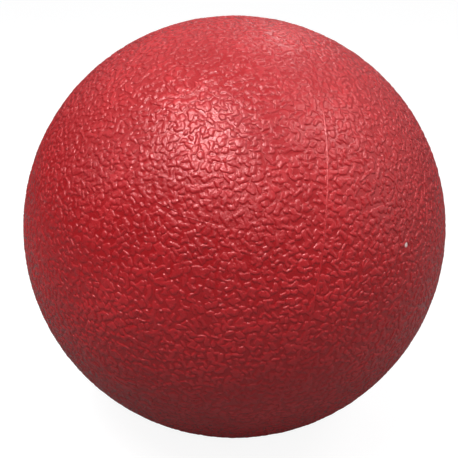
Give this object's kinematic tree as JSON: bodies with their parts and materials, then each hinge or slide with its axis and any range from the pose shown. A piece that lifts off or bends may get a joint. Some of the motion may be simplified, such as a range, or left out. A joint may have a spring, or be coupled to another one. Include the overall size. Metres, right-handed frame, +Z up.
{
  "type": "dodgeball",
  "caption": "Round red rubber ball with a pebbled cover over a wound carcass, an air-tight bladder and a self-sealing needle valve.",
  "frame": {"origin": "the ball's centre", "axes": "+Z up as the ball lies in the picture; the valve's axis lies in the XZ plane and leaves the ball towards +X, 12 degrees below the horizontal; the parting line lies in the plane through the centre that is square to that axis"},
  "size_m": [0.216, 0.216, 0.216],
  "materials": {
    "cover_rubber": "satin",
    "wound_nylon": "matte",
    "butyl_rubber": "satin",
    "rubberised_fabric": "matte",
    "valve_rubber": "satin"
  },
  "bodies": {
    "ball": {"cover_plain_half": "cover_rubber", "cover_valve_half": "cover_rubber", "winding": "wound_nylon", "bladder": "butyl_rubber", "valve_patch": "rubberised_fabric", "valve_boot": "valve_rubber"},
    "insert": {"valve_insert": "valve_rubber"}
  },
  "joints": [
    {"name": "insert_removal", "type": "slide", "parent": "ball", "child": "insert", "axis": [0.9781, 0, -0.2079], "range_m": [0, 0.03]}
  ]
}
